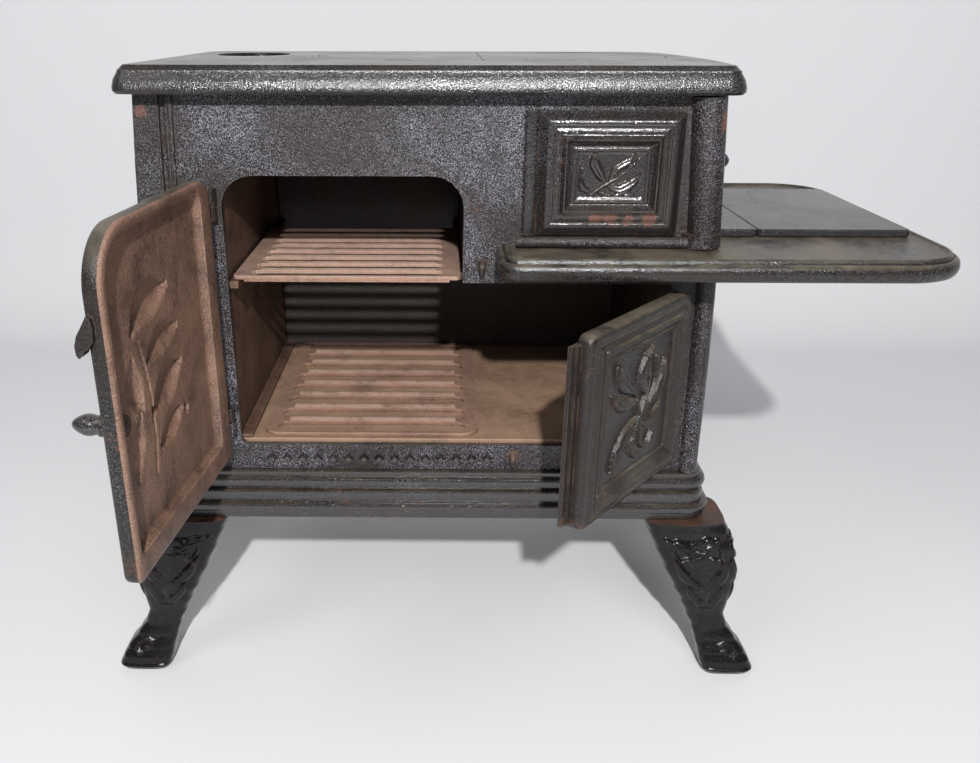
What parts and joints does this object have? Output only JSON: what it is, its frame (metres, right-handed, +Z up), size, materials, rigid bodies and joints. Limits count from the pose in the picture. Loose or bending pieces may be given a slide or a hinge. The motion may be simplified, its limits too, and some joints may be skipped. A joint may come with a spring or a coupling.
{
  "type": "salesman sample stove",
  "caption": "Small cast-iron cook stove on curved legs: oven with two hinged front doors, slotted shelf and tray, firebox, lift-off lids, feed door and L-shaped side shelf.",
  "frame": {"origin": "on the ground under the middle of the box round the whole stove with its doors open as in the picture", "axes": "+Z up, +X to the stove's right as seen from the front, +Y to its back; the front faces -Y"},
  "size_m": [0.449, 0.3368, 0.3393],
  "materials": {
    "black_iron": "black painted cast iron, worn glossy on its edges",
    "top_iron": "grey-black cast iron with a fine grain",
    "rusty_iron": "bare cast iron with brown rust",
    "oven_iron": "dark sooted cast iron",
    "shelf_iron": "dusty grey-brown cast iron",
    "leg_iron": "glossy black painted cast iron",
    "bolt_iron": "dull dark iron with a little rust"
  },
  "bodies": {
    "root": {"base": "black_iron", "front_plate": "black_iron", "left_side_plate": "black_iron", "right_side_plate": "black_iron", "back_plate": "black_iron", "firebox_panel": "black_iron", "top_plate": "top_iron", "oven_floor": "rusty_iron", "oven_left_wall": "rusty_iron", "oven_right_wall": "oven_iron", "oven_back_wall": "oven_iron", "oven_ceiling": "oven_iron", "shelf_runner_left": "oven_iron", "shelf_runner_right": "oven_iron", "firebox_floor": "oven_iron", "firebox_divider": "oven_iron", "grate_rail_front": "oven_iron", "grate_rail_back": "oven_iron", "firebox_grate": "oven_iron", "side_shelf": "shelf_iron", "shelf_plate_inner": "shelf_iron", "leg_front_left": "leg_iron", "leg_front_right": "leg_iron", "leg_back_left": "leg_iron", "leg_back_right": "leg_iron", "upper_keeper": "bolt_iron", "lower_keeper": "bolt_iron", "left_door_pin_upper": "bolt_iron", "left_door_pin_lower": "bolt_iron", "right_door_pin_upper": "bolt_iron", "right_door_pin_lower": "bolt_iron", "feed_door_pin": "bolt_iron", "tie_rod_1": "bolt_iron", "tie_rod_2": "bolt_iron", "tie_rod_3": "bolt_iron", "tie_rod_4": "bolt_iron", "leg_front_left_bolt": "bolt_iron", "leg_front_right_bolt": "bolt_iron", "leg_back_left_bolt": "bolt_iron", "leg_back_right_bolt": "bolt_iron", "shelf_bolt_1": "bolt_iron", "shelf_bolt_2": "bolt_iron"},
    "left_door": {"left_door": "rusty_iron", "left_door_knob": "black_iron"},
    "right_door": {"right_door": "black_iron"},
    "feed_door": {"feed_door": "black_iron", "feed_door_knob": "black_iron"},
    "oven_shelf": {"oven_shelf": "rusty_iron"},
    "oven_tray": {"oven_tray": "rusty_iron"},
    "lid_left": {"lid_left": "top_iron"},
    "lid_bar": {"lid_bar": "top_iron"},
    "lid_right": {"lid_right": "top_iron"},
    "shelf_plate_outer": {"shelf_plate_outer": "shelf_iron"}
  },
  "joints": [
    {"name": "left_door_hinge", "type": "hinge", "parent": "root", "child": "left_door", "pos_m": [-0.14896, -0.03633, 0.212], "axis": [0, 0, -1], "range_deg": [-95.5, 45]},
    {"name": "right_door_hinge", "type": "hinge", "parent": "root", "child": "right_door", "pos_m": [0.09504, -0.03633, 0.186], "axis": [0, 0, 1], "range_deg": [-50.5, 70]},
    {"name": "feed_door_hinge", "type": "hinge", "parent": "root", "child": "feed_door", "pos_m": [0.11363, 0.10257, 0.2875], "axis": [0, 0, 1], "range_deg": [0, 110]},
    {"name": "oven_shelf_slide", "type": "slide", "parent": "root", "child": "oven_shelf", "axis": [0, -1, 0], "range_m": [0, 0.11]},
    {"name": "oven_tray_slide", "type": "slide", "parent": "root", "child": "oven_tray", "axis": [0, -1, 0], "range_m": [0, 0.15]},
    {"name": "lid_left_lift", "type": "slide", "parent": "root", "child": "lid_left", "axis": [0, 0, 1], "range_m": [0, 0.012]},
    {"name": "lid_bar_lift", "type": "slide", "parent": "root", "child": "lid_bar", "axis": [0, 0, 1], "range_m": [0, 0.012]},
    {"name": "lid_right_lift", "type": "slide", "parent": "root", "child": "lid_right", "axis": [0, 0, 1], "range_m": [0, 0.012]},
    {"name": "shelf_plate_outer_lift", "type": "slide", "parent": "root", "child": "shelf_plate_outer", "axis": [0, 0, 1], "range_m": [0, 0.006]}
  ]
}
